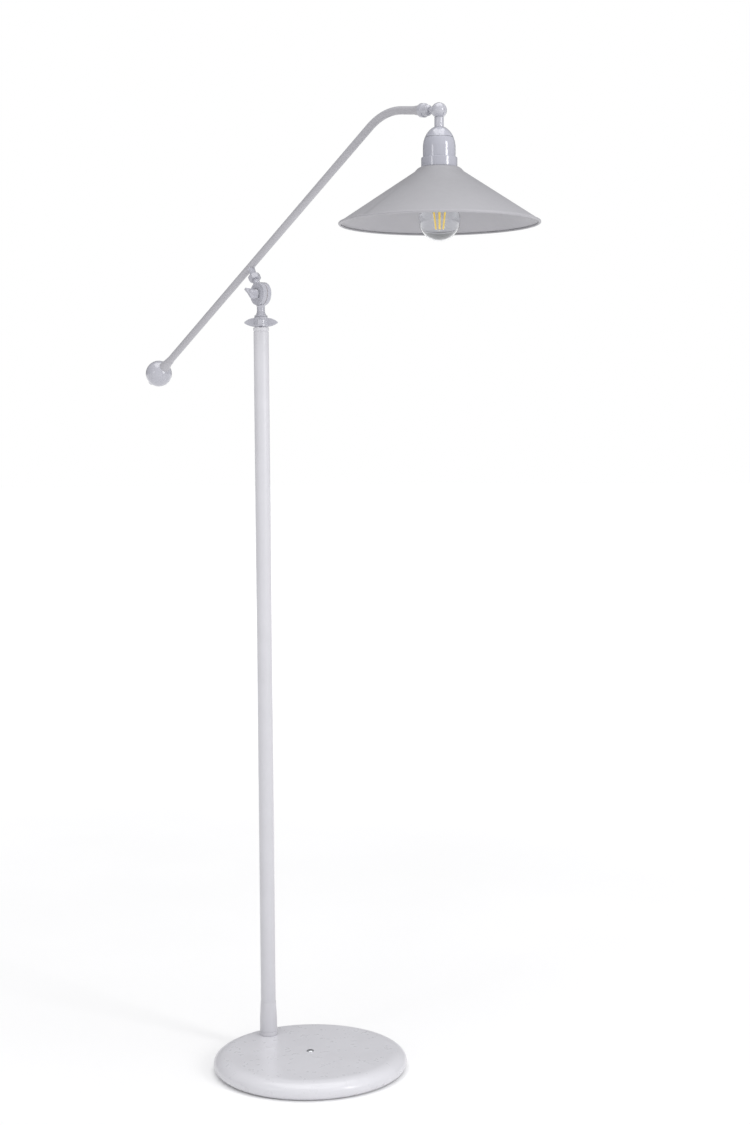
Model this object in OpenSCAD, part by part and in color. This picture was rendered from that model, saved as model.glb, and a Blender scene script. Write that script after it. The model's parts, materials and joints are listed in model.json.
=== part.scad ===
// Adjustable arm floor lamp: round weighted base, offset post, counterweighted arm and conical metal shade.
// Millimetres. The origin is the centre of the base on the floor, +Z is up and +X runs from the post to the head.

/* [Base] */
// Outside diameter of the base
base_d = 310; // [260:5:380]
// Height of the base's flat top above the floor
base_h = 28.5; // [26:0.5:40]
// Thickness of the pressed steel cover
cover_t = 1.2; // [0.8:0.1:2]
// Thickness of the felt pad
pad_t = 2; // [1:0.5:3]
// Thickness of the closing plate
plate_t = 1.2; // [1:0.1:3]
// Thickness of the cast iron weight
weight_t = 13; // [12:0.5:16]
// Distance of the post's axis behind the centre of the base
post_offset = 112; // [90:1:118]

/* [Post] */
// Height of the top of the post tube above the floor
post_top = 1184; // [900:1:1300]
// Outside diameter of the post tube
post_d = 24.4; // [22:0.2:30]
// Wall of the post tube
post_wall = 1.5; // [1:0.1:2]
// Outside diameter of the flared foot collar
foot_d = 28.4; // [27.5:0.2:36]
// Height of the foot collar
foot_h = 56; // [45:1:80]
// Outside diameter of the threaded nipple in the base
nipple_d = 10; // [9:0.5:12]

/* [Swivel on the post] */
// Height of the cap ring on the post
cap_h = 7.2; // [5:0.2:12]
// Height of the four-winged hand nut
hand_nut_h = 16.6; // [14:0.2:20]
// Diameter of the hand nut's hub
hand_nut_d = 23; // [20:0.5:28]
// Distance from the axis to the tips of the hand nut's wings
hand_wing_r = 27; // [22:0.5:34]
// Diameter of the swivel's spigot
spigot_d = 12; // [11:0.5:14]
// Height of the tilt hinge above the top of the post tube
hinge_rise = 61; // [58:0.5:72]

/* [Tilt knuckle] */
// Diameter of the two half discs
disc_d = 37.2; // [34:0.2:40]
// Thickness of one half disc
disc_t = 7.4; // [7:0.2:12]
// Diameter of the knuckle's neck
neck_d = 12.8; // [12:0.2:16]
// Diameter of the tilt bolt
bolt_d = 6; // [5:0.5:7]
// Distance from the hinge to the arm's centre line
arm_offset = 53; // [51:0.5:64]
// Distance from the axis to the tips of the wing nut
wing_r = 12; // [11:0.5:16]
// Length of the wing nut along the bolt
wing_nut_l = 17; // [14:0.2:20]

/* [Arm] */
// Outside diameter of the arm tube
arm_d = 12; // [11.5:0.1:14]
// Wall of the arm tube
arm_wall = 1.2; // [1:0.1:1.4]
// Slope of the arm above the horizontal as stored
arm_slope = 31; // [10:1:45]
// Length from the knuckle to the bend
arm_front = 394; // [250:1:480]
// Length from the knuckle back to the counterweight's centre
arm_rear = 318; // [200:1:380]
// Angle that the arm bends down by
bend_angle = 39; // [15:1:60]
// Radius of the bend's centre line
bend_r = 110; // [60:5:150]
// Length from the bend's corner to the centre of the head swivel
end_length = 121.6; // [112:0.1:180]

/* [Counterweight] */
// Diameter of the counterweight ball
weight_ball_d = 45; // [38:0.5:56]
// Length of the tapered sleeve in front of the ball
sleeve_l = 23; // [15:1:35]

/* [Head swivel] */
// Diameter of the split ball
ball_d = 22.4; // [21.6:0.2:27]
// Diameter of the shank between the ball and the arm
shank_d = 6.8; // [6.6:0.1:7.4]
// Diameter of the collar's flange
collar_d = 20.5; // [16:0.5:26]
// Diameter of the stem above the lampholder
stem_d = 13.4; // [12:0.2:16]

/* [Lampholder] */
// Outside diameter of the lampholder
holder_d = 46.6; // [44.6:0.2:56]
// Height of the domed top, cap and body together, from the stem to the straight body
dome_h = 30.5; // [26:0.5:36]
// Height of the straight body
holder_h = 14; // [12:0.5:24]
// Outside diameter of the ring above the shade
ring_d = 51.6; // [48:0.2:60]
// Height of the ring above the shade
ring_h = 13.6; // [10:0.2:18]
// Outside diameter of the threaded skirt that passes through the shade
skirt_d = 39; // [38:0.2:41]
// Length of the skirt below the ring
skirt_l = 24; // [20:1:30]

/* [Shade] */
// Diameter across the rim
shade_d = 290; // [200:5:360]
// Height from the rim to the flat top
shade_h = 81; // [60:1:120]
// Thickness of the sheet
shade_t = 1; // [0.8:0.1:1.5]
// Radius of the rolled bead on the rim
bead_r = 1.9; // [1.2:0.1:3]

/* [Bulb] */
// Diameter of the bulb's globe
bulb_d = 60; // [50:1:68]
// Length of the bulb from its contact to the bottom of the globe
bulb_l = 106; // [98:1:125]
// Diameter of the bulb's screw cap
bulb_cap_d = 26.2; // [25.8:0.1:26.4]

/* [Fits] */
// Radial clearance of shafts and threads
fit = 0.06; // [0.03:0.01:0.09]
// Gap between pieces that move past each other
gap = 0.3; // [0.25:0.05:0.5]
// Diameter of the two-core lead inside the lamp
lead_d = 2.8; // [2:0.1:3]

/* [Hidden] */
$fn = 48;

paint = [0.86, 0.86, 0.88];
enamel = [0.9, 0.91, 0.93];
steel = [0.72, 0.73, 0.75];
brass = [0.8, 0.65, 0.35];
iron = [0.3, 0.3, 0.32];
ceramic = [0.93, 0.92, 0.88];
lead_colour = [0.85, 0.85, 0.85];

// base levels and outline
edge_w = 24;
edge_z = 13;
edge_low = 16;
cover_rim_z = 1;
edge_centre = base_d / 2 - edge_w;
plate_z = pad_t;
weight_z = plate_z + plate_t;
weight_top = weight_z + weight_t;
cover_in_z = base_h - cover_t;
weight_gap = 1.5;
pocket_z = weight_z + 9;
washer_t = 1.2;
post_nut_h = 4;
lead_r = lead_d / 2;
channel_w = 8;
plate_screw_ring = base_d * 0.36;
bushing_z = 9;
bushing_bore_r = 3;
bushing_r = 4.2;

// post levels and radii
post_x = -post_offset;
post_r = post_d / 2;
post_in_r = post_r - post_wall;
post_foot = base_h + 1.5;
insert_h = 30;
nipple_r = nipple_d / 2;
nipple_low = pocket_z - washer_t - post_nut_h - 0.6;
bush_h = 24;
spigot_r = spigot_d / 2;
spigot_low = post_top - bush_h - 9;
cap_top = post_top + cap_h;
hand_nut_z = cap_top + gap;
bell_z = hand_nut_z + hand_nut_h + gap;
hinge_z = post_top + hinge_rise;

// knuckle
disc_r = disc_d / 2;
neck_r = neck_d / 2;
bolt_r = bolt_d / 2;
disc_y = gap;
disc_out = disc_y + disc_t;
recess_in = bolt_r + 1.3;
recess_out = disc_r - 4.6;
lead_y = gap + 0.3 + lead_r;
recess_d = lead_y + lead_r + 0.3;
lead_bore_r = lead_r + 0.3;
stem_r = 5.6;
knuckle_top = 27;
socket_z = disc_r + 1.4;
socket_gap = 2.4;
saddle_nipple_r = 4;
lock_nut_h = 8.8;
lock_nut_af = 17.5;
tilt_washer_t = 1.2;

// arm
arm_r = arm_d / 2;
arm_in_r = arm_r - arm_wall;
bend_run = bend_r * tan(bend_angle / 2);
end_droop = bend_angle - arm_slope;
head_x = post_x + arm_front * cos(arm_slope) - arm_offset * sin(arm_slope) + end_length * cos(end_droop);
head_z = hinge_z + arm_front * sin(arm_slope) + arm_offset * cos(arm_slope) - end_length * sin(end_droop);
weight_ball_r = weight_ball_d / 2;

// head swivel, measured from the centre of the split ball
ball_r = ball_d / 2;
shank_r = shank_d / 2;
shank_l = 47;
collar_near = 19.5;
collar_mid = 30;
collar_far = 38.4;
insert_len = 22;
swivel_screw_r = 2;
swivel_in = swivel_screw_r + 1.1;
swivel_out = ball_r - 2.9;

// head levels, all heights above the floor
stem_end = head_z - 23.6;
dome_z = stem_end + 1.6 - dome_h;
seam_z = dome_z + dome_h * 0.46;
body_z = dome_z - holder_h;
ring_z = body_z - ring_h;
holder_r = holder_d / 2;
holder_wall = 1.5;
ring_r = max(ring_d / 2, holder_r + 2.5);
skirt_r = skirt_d / 2;
skirt_wall = 1.6;
skirt_z = ring_z - skirt_l;
shade_top = ring_z;
rim_z = shade_top - shade_h;
shade_r = shade_d / 2;
shoulder_r = ring_r + 7;
shoulder_z = shade_top - 5.5;
shade_ring_h = 5;
bulb_top = shade_top + 1.6;
core_z = bulb_top + 1.4;
core_h = 24;

// bulb
bulb_r = bulb_d / 2;
bulb_z = bulb_top - bulb_l + bulb_r;
bulb_cap_r = bulb_cap_d / 2;
glass_t = 0.8;
bulb_neck_r = bulb_cap_r - 0.4;
flank = 40;
flank_r = (bulb_r * cos(flank) - bulb_neck_r) / (1 - cos(flank));
bulb_neck_z = bulb_z + (bulb_r + flank_r) * sin(flank);
tip_h = 1.6;
insulator_h = 3;
bulb_cap_top = bulb_top - tip_h - insulator_h;

function arc(cx, cy, rx, ry, from, to, steps) =
    [for (i = [0:steps]) let (a = from + (to - from) * i / steps) [cx + rx * cos(a), cy + ry * sin(a)]];

// Points of one ring of a swept lead, square to the direction that it runs in
function ring_at(p, direction, r, sides) =
    let (t = direction / norm(direction), u = cross(t, [0, 1, 0]), n = u / norm(u), b = cross(t, n))
    [for (i = [0:sides - 1]) p + r * (cos(360 * i / sides) * n + sin(360 * i / sides) * b)];

// Direction of a route at one of its points
function heading(route, i) =
    i == 0 ? route[1] - route[0]
    : i == len(route) - 1 ? route[i] - route[i - 1]
    : (route[i + 1] - route[i]) / norm(route[i + 1] - route[i])
        + (route[i] - route[i - 1]) / norm(route[i] - route[i - 1]);

// A round lead swept along a route
module lead_along(route, r = lead_r, sides = 10) {
    rings = len(route);
    points = [for (i = [0:rings - 1]) each ring_at(route[i], heading(route, i), r, sides)];
    walls = [for (i = [0:rings - 2], j = [0:sides - 1])
        [i * sides + j, i * sides + (j + 1) % sides, (i + 1) * sides + (j + 1) % sides, (i + 1) * sides + j]];
    first = [for (j = [sides - 1:-1:0]) j];
    last = [for (j = [0:sides - 1]) (rings - 1) * sides + j];
    polyhedron(points, concat(walls, [first, last]));
}

// A cylinder along Z between two heights
module z_rod(r, low, high) {
    translate([0, 0, low]) cylinder(r = r, h = high - low);
}

// A cylinder along Y between two places
module y_rod(r, low, high) {
    translate([0, high, 0]) rotate([90, 0, 0]) cylinder(r = r, h = high - low);
}

// A cylinder along X between two places
module x_rod(r, low, high) {
    translate([low, 0, 0]) rotate([0, 90, 0]) cylinder(r = r, h = high - low);
}

// A tube along Z between two heights
module z_tube(outer, inner, low, high) {
    difference() {
        z_rod(outer, low, high);
        z_rod(inner, low - 1, high + 1);
    }
}

// A hexagon nut along Z with a plain bore
module hex_nut(across_flats, bore_r, low, high) {
    difference() {
        translate([0, 0, low]) cylinder(r = across_flats / sqrt(3), h = high - low, $fn = 6);
        z_rod(bore_r, low - 1, high + 1);
    }
}

// Half of space on one side of the plane through the Z and X axes
module half_space(side, edge, size) {
    translate([-size, side > 0 ? edge : -edge - 2 * size, -size]) cube(2 * size);
}

module at_post() {
    translate([post_x, 0, 0]) children();
}

// Frame of the tilting arm: origin on the hinge, X along the arm, Z square to it
module at_tilt() {
    translate([post_x, 0, hinge_z]) rotate([0, -arm_slope, 0]) children();
}

// Frame of the arm's centre line
module at_arm() {
    at_tilt() translate([0, 0, arm_offset]) children();
}

// Frame of the arm's end: origin at the centre of the split ball, X pointing away from the arm
module at_end() {
    translate([head_x, 0, head_z]) rotate([0, end_droop, 0]) children();
}

module at_head() {
    translate([head_x, 0, 0]) children();
}

// ---- base ----

// Half outline of the base's edge, shrunk by an inset, from the top plane to a lowest height
function edge_outline(inset, low, side_inset) =
    let (rx = edge_w - side_inset, up = base_h - edge_z - inset, down = edge_low - inset,
         end = asin((edge_z - low) / down))
    concat(arc(edge_centre, edge_z, rx, up, 90, 0, 10), arc(edge_centre, edge_z, rx, down, -end / 8, -end, 7));

module base_cover() {
    outer = edge_outline(0, cover_rim_z, 0);
    inner = edge_outline(cover_t, cover_rim_z, cover_t);
    back = [for (i = [len(inner) - 1:-1:0]) inner[i]];
    color(paint)
    difference() {
        rotate_extrude($fn = 96) polygon(concat([[0, base_h]], outer, back, [[0, cover_in_z]]));
        at_post() z_rod(nipple_r + fit, cover_in_z - 1, base_h + 1);
        z_rod(3 + fit, cover_in_z - 1, base_h + 1);
        translate([0, 0, bushing_z]) x_rod(bushing_r + fit, -base_d / 2 - 5, -base_d / 2 + 15);
    }
}

module base_weight() {
    disc_r = edge_centre + edge_w * 0.55;
    boss_r = 20;
    color(iron)
    difference() {
        union() {
            z_rod(disc_r, weight_z, weight_top);
            z_rod(12, weight_top - 1, cover_in_z);
            at_post() z_rod(boss_r, weight_top - 1, cover_in_z);
        }
        at_post() z_rod(nipple_r + fit, weight_z - 1, cover_in_z + 1);
        at_post() z_rod(13, weight_z - 1, pocket_z);
        translate([-base_d / 2, -channel_w / 2, weight_z - 1]) cube([base_d / 2 - post_offset, channel_w, 10]);
        z_rod(3 + fit, weight_z - 1, cover_in_z + 1);
        z_rod(8, weight_z - 1, pocket_z - 2);
        for (a = [0:120:240]) {
            rotate(a) translate([plate_screw_ring, 0, 0]) z_rod(2 + fit, weight_z - 1, weight_z + 9);
        }
    }
}

module base_plate() {
    color(steel)
    difference() {
        z_rod(edge_centre + edge_w * 0.5, plate_z, weight_z);
        for (a = [0:120:240]) {
            rotate(a) translate([plate_screw_ring, 0, 0]) z_rod(2 + fit, plate_z - 1, weight_z + 1);
        }
    }
}

module base_pad() {
    pad_r = edge_centre + edge_w * 0.48;
    head_r = 4.2;
    head_h = 1.4;
    color([0.2, 0.2, 0.21])
    difference() {
        z_rod(pad_r, 0, pad_t);
        for (a = [0:120:240]) {
            rotate(a) translate([plate_screw_ring, 0, 0]) z_rod(head_r, pad_t - head_h, pad_t + 1);
        }
    }
}

module plate_screws() {
    head_r = 3.9;
    head_h = min(1.1, pad_t - 0.3);
    color(steel)
    for (a = [0:120:240]) {
        rotate(a) translate([plate_screw_ring, 0, 0]) {
            z_rod(2, plate_z - 0.5, weight_z + 8);
            z_rod(head_r, plate_z - head_h, plate_z);
        }
    }
}

module centre_screw() {
    head_r = 6;
    head_h = 2.4;
    slot = 1.2;
    color(steel)
    difference() {
        union() {
            z_rod(3, weight_z + 1.2, base_h + 0.5);
            translate([0, 0, base_h])
                rotate_extrude() polygon(concat([[0, 0]], arc(0, 0, head_r, head_h, 0, 90, 8)));
        }
        translate([-head_r - 1, -slot / 2, base_h + head_h - 1]) cube([2 * head_r + 2, slot, 3]);
    }
}

module centre_nut() {
    color(steel) hex_nut(10, 3 + fit, pocket_z - 2 - 4, pocket_z - 2);
}

module cord_bushing() {
    wall_x = -base_d / 2 + 0.6;
    color([0.16, 0.16, 0.17])
    translate([0, 0, bushing_z])
    difference() {
        union() {
            x_rod(bushing_r, wall_x - 3.4, wall_x + 8.2);
            x_rod(6.2, wall_x - 3.4, wall_x - 1.2);
            x_rod(5.4, wall_x + 6.6, wall_x + 8.2);
        }
        x_rod(bushing_bore_r, wall_x - 5, wall_x + 10);
    }
}

module post_nipple() {
    color(brass) at_post() z_tube(nipple_r, nipple_r - 1.4, nipple_low, post_foot + insert_h - 2);
}

module post_washer() {
    color(steel) at_post() z_tube(11, nipple_r + fit, pocket_z - washer_t, pocket_z);
}

module post_nut() {
    top = pocket_z - washer_t;
    color(brass) at_post() hex_nut(17, nipple_r + fit, top - post_nut_h, top);
}

// ---- post ----

module foot_collar() {
    outer = max(foot_d / 2, post_r + 1.8);
    lip = 6.5;
    line = 0.5;
    tip_r = post_r + 0.45;
    flare_z = base_h + foot_h * 0.52;
    color(paint) at_post()
    difference() {
        rotate_extrude() polygon([
            [nipple_r + 3, base_h], [outer, base_h], [outer, base_h + lip], [outer - line, base_h + lip + line],
            [outer, base_h + lip + 2 * line], [outer - 0.2, flare_z], [tip_r, base_h + foot_h],
            [nipple_r + 3, base_h + foot_h]
        ]);
        z_rod(post_r + fit, post_foot, base_h + foot_h + 1);
        z_rod(nipple_r + fit, base_h - 1, post_foot + 1);
    }
}

module foot_insert() {
    color(steel) at_post() z_tube(post_in_r - fit, nipple_r + fit, post_foot, post_foot + insert_h);
}

module post_tube() {
    color(paint) at_post() z_tube(post_r, post_in_r, post_foot, post_top);
}

module post_bush() {
    color(brass) at_post() z_tube(post_in_r - fit, spigot_r + fit, post_top - bush_h, post_top);
}

module cap_ring() {
    outer = post_r + 0.4;
    groove = 0.8;
    color(paint) at_post()
    rotate_extrude() polygon([
        [spigot_r + fit, post_top], [outer - groove, post_top], [outer - groove, post_top + 1],
        [outer, post_top + 1 + groove], [outer, cap_top - 1.2], [outer - 1.2, cap_top], [spigot_r + fit, cap_top]
    ]);
}

// The lead from the bushing in the base up to the swivel
module base_lead() {
    start_x = -base_d / 2 + 4;
    low_z = weight_z + lead_r + 0.3;
    color(lead_colour)
    lead_along([
        [start_x, 0, bushing_z], [start_x + 8, 0, bushing_z - 0.4], [(start_x + post_x) / 2, 0, 6.6],
        [post_x - 8, 0, low_z], [post_x - 4, 0, low_z], [post_x - 1.2, 0, low_z + 1.3], [post_x, 0, low_z + 4],
        [post_x, 0, post_foot], [post_x, 0, post_top / 2], [post_x, 0, spigot_low - 2]
    ]);
}

// ---- swivel on the post ----

// One leaf-shaped wing of the hand nut, standing upright along +X
module hand_wing() {
    mid = hand_nut_z + hand_nut_h * 0.45;
    root = hand_nut_d / 2 - 2;
    half = hand_nut_h / 2 - 0.6;
    leaf = 4.4;
    tip = 1.2;
    span = hand_wing_r - tip;
    // half height of the leaf from its root, 0, to its tip, 1
    function leaf_half(t) = half * sqrt(1 - t * t) * (1 - 0.15 * t);
    up = [for (i = [0:6]) [root + (span - root) * i / 6, leaf_half(i / 6)]];
    down = [for (i = [6:-1:0]) [root + (span - root) * i / 6, -0.9 * leaf_half(i / 6)]];
    rim = arc(span, 0, tip, tip * 1.4, 80, -80, 6);
    translate([0, leaf / 2, mid]) rotate([90, 0, 0]) linear_extrude(leaf) polygon(concat(
        [for (i = [0:5]) up[i]], rim, [for (i = [1:6]) down[i]]));
}

module hand_nut() {
    r = hand_nut_d / 2;
    top = hand_nut_z + hand_nut_h;
    color(enamel) at_post()
    difference() {
        union() {
            rotate_extrude() polygon([
                [spigot_r + fit, hand_nut_z], [r - 0.8, hand_nut_z], [r, hand_nut_z + 1.2], [r, hand_nut_z + 4],
                [r - 1.2, hand_nut_z + 5.5], [r - 1.2, top - 4], [r - 0.4, top - 2.4], [r - 1, top],
                [spigot_r + fit, top]
            ]);
            for (a = [50:90:320]) {
                rotate(a) hand_wing();
            }
        }
        z_rod(spigot_r + fit, hand_nut_z - 1, top + 1);
    }
}

// ---- tilt knuckle ----

module knuckle_lower() {
    bell_r = hand_nut_d / 2 - 0.8;
    neck_z = bell_z + 10;
    color(enamel)
    at_post()
    difference() {
        union() {
            rotate_extrude() polygon(concat(
                [[0, spigot_low], [spigot_r, spigot_low], [spigot_r, bell_z], [bell_r, bell_z]],
                arc(bell_r, bell_z + 10, bell_r - neck_r, 8.4, 270, 180, 6),
                [[neck_r, hinge_z - disc_r - 3.2], [neck_r + 1.2, hinge_z - disc_r + 1],
                 [neck_r + 1.2, hinge_z - disc_r + 6], [0, hinge_z - disc_r + 6]]
            ));
            translate([0, 0, hinge_z]) y_rod(disc_r, disc_y, disc_out);
        }
        translate([0, 0, hinge_z]) {
            y_rod(disc_r + gap, -2 * disc_r, disc_y);
            difference() {
                y_rod(recess_out, disc_y - 1, recess_d);
                y_rod(recess_in, -disc_out, disc_out);
            }
            y_rod(bolt_r + fit, -disc_out - 1, disc_out + 1);
        }
        z_rod(spigot_r - 1.8, spigot_low - 1, bell_z + 2);
        translate([0, lead_y, 0]) z_rod(lead_bore_r, bell_z, hinge_z - recess_in - 1);
    }
}

module spigot_washer() {
    top = post_top - bush_h;
    color(steel) at_post() z_tube(post_in_r - 0.7, spigot_r + fit, top - 1.2, top - 0.2);
}

module spigot_nut() {
    top = post_top - bush_h - 1.2;
    color(brass) at_post() hex_nut(17, spigot_r + fit, top - 6, top);
}

module tilt_bolt() {
    head_r = 8;
    head_h = 4.2;
    end_y = -disc_out - tilt_washer_t - wing_nut_l * 0.7;
    color(steel)
    translate([post_x, 0, hinge_z]) {
        y_rod(bolt_r, end_y, disc_out + 0.5);
        translate([0, disc_out, 0]) rotate([-90, 0, 0])
            rotate_extrude() polygon(concat([[0, 0]], arc(0, 0, head_r, head_h, 0, 90, 8)));
    }
}

module friction_washer() {
    color([0.35, 0.3, 0.25])
    translate([post_x, 0, hinge_z])
    difference() {
        y_rod(disc_r - 0.4, -disc_y + 0.05, disc_y);
        y_rod(recess_out + 0.2, -disc_y - 1, disc_y + 1);
    }
}

module tilt_washer() {
    color(steel)
    translate([post_x, 0, hinge_z])
    difference() {
        y_rod(8.6, -disc_out - tilt_washer_t, -disc_out - 0.05);
        y_rod(bolt_r + fit, -disc_out - tilt_washer_t - 1, -disc_out + 1);
    }
}

// The lead through the swivel and half round the tilt bolt
module neck_lead() {
    r = (recess_in + recess_out) / 2;
    turn = [for (a = [-80:20:0]) [post_x + r * cos(a), lead_y, hinge_z + r * sin(a)]];
    color(lead_colour)
    lead_along(concat([
        [post_x, 0, spigot_low - 1.8], [post_x, 0, bell_z - 14], [post_x, lead_y / 2, bell_z - 5],
        [post_x, lead_y, bell_z + 3], [post_x, lead_y, hinge_z - recess_out - 1]
    ], turn));
}

module tilt_wing_nut() {
    hub_r = 6.4;
    near = -disc_out - tilt_washer_t - 0.1;
    far = near - wing_nut_l;
    plate = 3.4;
    corner = 1.6;
    wing_turn = -42;
    r = wing_r - corner;
    outline = concat(
        [[0, near - 1], [hub_r - 1, near - 1]],
        arc(r - 1.4, near - 3.6, corner, corner, 90, 10, 4),
        arc(r, far + corner, corner, corner, 0, -90, 5),
        [[0, far + 1]]
    );
    color(enamel)
    translate([post_x, 0, hinge_z])
    difference() {
        union() {
            translate([0, near, 0]) rotate([90, 0, 0]) rotate_extrude() polygon([
                [0, 0], [hub_r + 0.8, 0], [hub_r + 0.8, 1.4], [hub_r, 2.4], [hub_r - 1, wing_nut_l * 0.72],
                [hub_r - 2.4, wing_nut_l * 0.8], [0, wing_nut_l * 0.8]
            ]);
            for (side = [0, 180]) {
                rotate([0, side - wing_turn, 0]) translate([0, 0, -plate / 2]) linear_extrude(plate) polygon(outline);
            }
        }
        y_rod(bolt_r + fit, near - wing_nut_l * 0.74, near + 1);
    }
}

// ---- arm ----

module knuckle_upper() {
    color(enamel)
    at_tilt()
    difference() {
        union() {
            y_rod(disc_r, -disc_out, -disc_y);
            rotate_extrude() polygon([
                [0, disc_r - 4], [stem_r + 1.8, disc_r - 4], [stem_r, disc_r + 2.4], [stem_r, knuckle_top],
                [0, knuckle_top]
            ]);
        }
        y_rod(disc_r + gap, -disc_y, 2 * disc_r);
        difference() {
            y_rod(recess_out, -recess_d, 1 - disc_y);
            y_rod(recess_in, -disc_out - 2, disc_out + 2);
        }
        y_rod(bolt_r + fit, -disc_out - 1, disc_out + 1);
        z_rod(saddle_nipple_r + fit, socket_z, knuckle_top + 1);
        translate([0, -lead_y, 0]) z_rod(lead_bore_r, recess_in + 1, socket_z + 1);
    }
}

module saddle_nipple() {
    color(brass) at_tilt() z_tube(saddle_nipple_r, saddle_nipple_r - 1.4, socket_z + socket_gap, arm_offset - arm_r - 1);
}

module saddle_lock_nut() {
    low = knuckle_top + 0.1;
    color(enamel) at_tilt()
    difference() {
        intersection() {
            hex_nut(lock_nut_af, saddle_nipple_r + fit, low, low + lock_nut_h);
            translate([0, 0, low]) rotate_extrude() polygon([
                [0, 0], [lock_nut_af / 2, 0], [lock_nut_af / 2 + 1.6, 1.1], [lock_nut_af / 2 + 1.6, lock_nut_h - 1.1],
                [lock_nut_af / 2, lock_nut_h], [0, lock_nut_h]
            ]);
        }
        z_rod(saddle_nipple_r + fit, low - 1, low + lock_nut_h + 1);
    }
}

module arm_saddle() {
    low = knuckle_top + lock_nut_h + 0.2;
    color(enamel)
    difference() {
        at_tilt() rotate_extrude() polygon([
            [saddle_nipple_r + fit, low], [6.2, low], [5.4, low + 2.4], [5.7, arm_offset - arm_r],
            [6.4, arm_offset - arm_r * 0.55], [saddle_nipple_r + fit, arm_offset - arm_r * 0.55]
        ]);
        at_arm() x_rod(arm_r + fit, -30, 30);
    }
}

// Round wall of the arm tube, thinned by a hair where the bent stretch joins the straight ones
module arm_section(hair = 0) {
    difference() {
        circle(r = arm_r - hair);
        circle(r = arm_in_r + hair);
    }
}

module arm_tube() {
    straight = arm_front - bend_run;
    rear = arm_rear + 4;
    end = end_length - bend_run - collar_far;
    color(paint)
    union() {
        at_arm()
        difference() {
            translate([-rear, 0, 0]) rotate([0, 90, 0]) linear_extrude(rear + straight) arm_section();
            z_rod(2.6, -arm_r - 1, 0);
        }
        at_arm() translate([straight, 0, -bend_r]) rotate([90, 0, 0]) rotate([0, 0, 90 - bend_angle])
            rotate_extrude(angle = bend_angle, $fn = 96) translate([bend_r, 0]) arm_section(0.03);
        at_end() translate([-collar_far - end, 0, 0]) rotate([0, 90, 0]) linear_extrude(end) arm_section();
    }
}

// The lead through the upper knuckle, the saddle and the arm to the head swivel
module arm_lead() {
    r = (recess_in + recess_out) / 2;
    run = arm_front - bend_run;
    // rotation from the arm's frame into the lamp's
    function in_lamp(x, y, z) = [
        post_x + x * cos(arm_slope) - z * sin(arm_slope), y, hinge_z + x * sin(arm_slope) + z * cos(arm_slope)
    ];
    turn = [for (a = [-arm_slope:22:82]) in_lamp(r * cos(a), -lead_y, r * sin(a))];
    bend = [for (i = [0:8]) let (a = bend_angle * i / 8)
        in_lamp(run + bend_r * sin(a), 0, arm_offset - bend_r + bend_r * cos(a))];
    finish = [for (s = [collar_far + insert_len - 1.5, shank_l + 1, ball_r + 4])
        [head_x - s * cos(end_droop), s > shank_l + 1 ? 0 : -lead_y * 0.8, head_z + s * sin(end_droop)]];
    color(lead_colour)
    lead_along(concat(turn, [
        in_lamp(0, -lead_y, recess_out + 1), in_lamp(0, -lead_y, socket_z + 0.2),
        in_lamp(0, -lead_y * 0.4, socket_z + 2.4), in_lamp(0, 0, socket_z + 5), in_lamp(0, 0, arm_offset - 6),
        in_lamp(1.2, 0, arm_offset - 2.4), in_lamp(4, 0, arm_offset - 0.6), in_lamp(9, 0, arm_offset)
    ], bend, finish));
}

module counterweight_sleeve() {
    start = -arm_rear + sqrt(weight_ball_r * weight_ball_r - 100) - 1;
    color(paint) at_arm()
    difference() {
        translate([start, 0, 0]) rotate([0, 90, 0]) cylinder(r1 = 10, r2 = arm_r + 0.6, h = sleeve_l);
        x_rod(arm_r + fit, start - 1, start + sleeve_l + 1);
        translate([-arm_rear, 0, 0]) sphere(r = weight_ball_r + fit);
    }
}

module counterweight_ball() {
    color(enamel) at_arm() translate([-arm_rear, 0, 0])
    difference() {
        sphere(r = weight_ball_r);
        x_rod(arm_r + fit, -4.2, weight_ball_r + 1);
        x_rod(3 + fit, -weight_ball_r - 1, -7);
        z_rod(2.5 + fit, -weight_ball_r - 1, 0);
    }
}

module counterweight_button() {
    reach = 7.4;
    color(paint) at_arm() translate([-arm_rear, 0, 0])
    difference() {
        translate([-weight_ball_r, 0, 0]) rotate([0, -90, 0]) rotate_extrude() polygon(concat(
            [[0, -12], [3, -12], [3, -2], [6.6, -2], [6.6, 0.6]], arc(0, 1.6, 5.8, reach - 1.6, 0, 90, 8)));
        difference() {
            sphere(r = weight_ball_r + fit);
            x_rod(3 + fit / 2, -2 * weight_ball_r, 0);
        }
    }
}

module counterweight_screw() {
    color(steel) at_arm() translate([-arm_rear, 0, 0])
    difference() {
        z_rod(2.5, -arm_r - 12, -arm_r - 0.1);
        translate([0, 0, -arm_r - 13]) cylinder(r = 1.5, h = 4, $fn = 6);
    }
}

module arm_end_insert() {
    color(brass) at_end()
    difference() {
        x_rod(arm_in_r - fit, -collar_far - insert_len, -collar_far);
        x_rod(shank_r + fit, -collar_far - insert_len - 1, -collar_far + 1);
    }
}

module arm_end_ferrule() {
    far = collar_far + 13;
    color(paint) at_end()
    difference() {
        translate([-far, 0, 0]) rotate([0, 90, 0]) rotate_extrude() polygon([
            [arm_r - 1, 0], [arm_r + 0.5, 0], [arm_r + 0.9, 5], [arm_r + 2.6, 13 - 0.1], [arm_r - 1, 13 - 0.1]
        ]);
        x_rod(arm_r + fit, -far - 1, -collar_far + 1);
    }
}

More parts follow.
